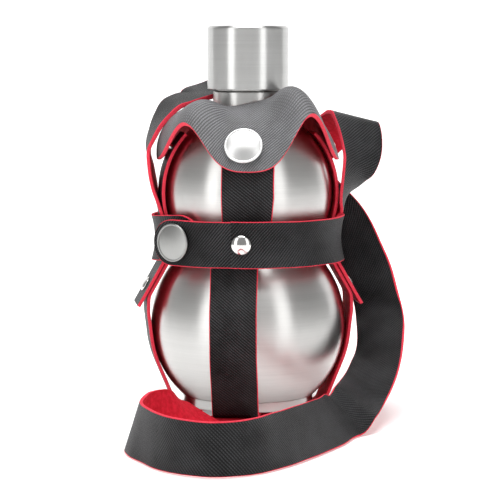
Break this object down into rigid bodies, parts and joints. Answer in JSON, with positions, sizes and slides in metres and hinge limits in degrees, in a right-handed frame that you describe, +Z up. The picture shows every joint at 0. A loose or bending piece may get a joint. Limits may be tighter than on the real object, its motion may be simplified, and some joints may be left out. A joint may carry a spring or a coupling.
{
  "type": "gourd water bottle",
  "caption": "Gourd-shaped steel flask with a screw cap, held in a snapped leather harness with a riveted carrying strap.",
  "frame": {"origin": "on the table under the flask's axis, at the underside of the strap that the flask stands on", "axes": "+Z up along the flask's axis, -Y towards the front, where the collar's tab snaps down"},
  "size_m": [0.149, 0.2605, 0.2102],
  "materials": {
    "steel": "spun and brushed round the axis",
    "nickel": "polished nickel plate",
    "leather": "black cross-grained calf with a red suede lining",
    "liner": "moulded polypropylene",
    "seal": "pale silicone"
  },
  "bodies": {
    "harnessed_flask": {"foot_pan": "steel", "lower_bulb": "steel", "upper_bulb": "steel", "neck_finish": "steel", "side_strap": "leather", "long_strap": "leather", "front_strap": "leather", "belt": "leather", "collar": "leather", "carry_strap": "leather", "tab_snap_stud": "nickel", "belt_snap_stud": "nickel", "belt_rivet": "nickel", "belt_rivet_burr": "nickel", "end_rivets": "nickel", "end_rivet_burrs": "nickel", "collar_rivets": "nickel", "collar_rivet_burrs": "nickel"},
    "cap_lifting": {"cap_seal": "seal"},
    "cap_turning": {"cap_shell": "steel", "cap_liner": "liner"},
    "collar_tab_flap": {"collar_tab": "leather", "tab_snap_cap": "nickel", "tab_snap_socket": "nickel"},
    "belt_end_flap": {"belt_flap": "leather", "belt_snap_cap": "nickel", "belt_snap_socket": "nickel"}
  },
  "joints": [
    {"name": "cap_lift", "type": "slide", "parent": "harnessed_flask", "child": "cap_lifting", "axis": [0, 0, 1], "range_m": [0, 0.018]},
    {"name": "cap_turn", "type": "hinge", "parent": "cap_lifting", "child": "cap_turning", "pos_m": [0, 0, 0.18], "axis": [0, 0, 1], "range_deg": [0, 1620]},
    {"name": "collar_tab_bend", "type": "hinge", "parent": "harnessed_flask", "child": "collar_tab_flap", "pos_m": [0, -0.0402, 0.1574], "axis": [-1, 0, 0], "range_deg": [0, 85]},
    {"name": "belt_flap_bend", "type": "hinge", "parent": "harnessed_flask", "child": "belt_end_flap", "pos_m": [-0.01334, -0.05129, 0.0958], "axis": [0, 0, 1], "range_deg": [0, 80]}
  ],
  "couplings": [
    {"joint": "cap_turn", "follows": "cap_lift", "rad_per_m": 1570.8}
  ]
}
